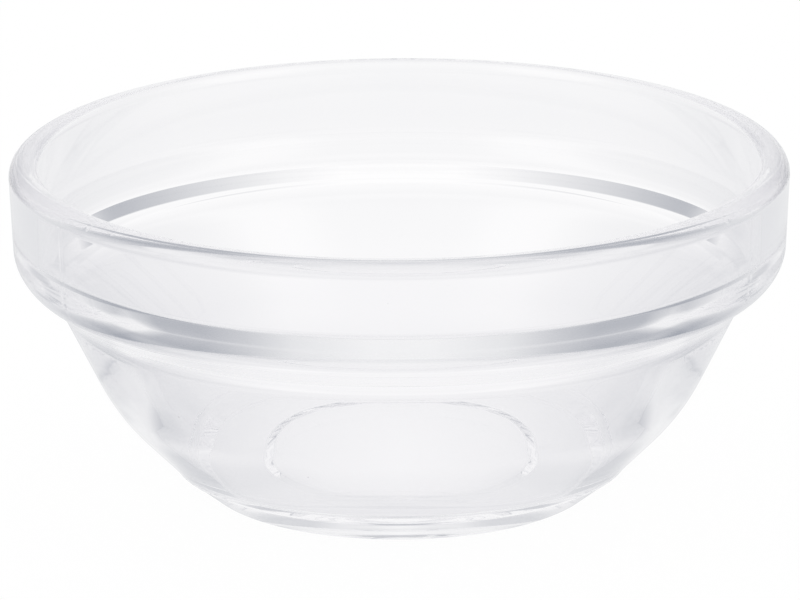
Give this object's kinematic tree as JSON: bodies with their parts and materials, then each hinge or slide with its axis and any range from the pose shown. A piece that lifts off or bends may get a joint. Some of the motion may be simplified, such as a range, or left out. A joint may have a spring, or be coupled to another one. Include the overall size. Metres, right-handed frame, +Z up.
{
  "type": "prep bowl",
  "caption": "Clear pressed-glass stacking prep bowl with a straight band, a sloped step inside it and a rounded body on a flat foot.",
  "frame": {"origin": "middle of the foot, on the table", "axes": "+Z up along the bowl's axis of revolution, +X and +Y level"},
  "size_m": [0.0898, 0.0898, 0.0392],
  "materials": {
    "clear_glass": "polished"
  },
  "bodies": {
    "root": {"glass_bowl": "clear_glass"}
  },
  "joints": []
}
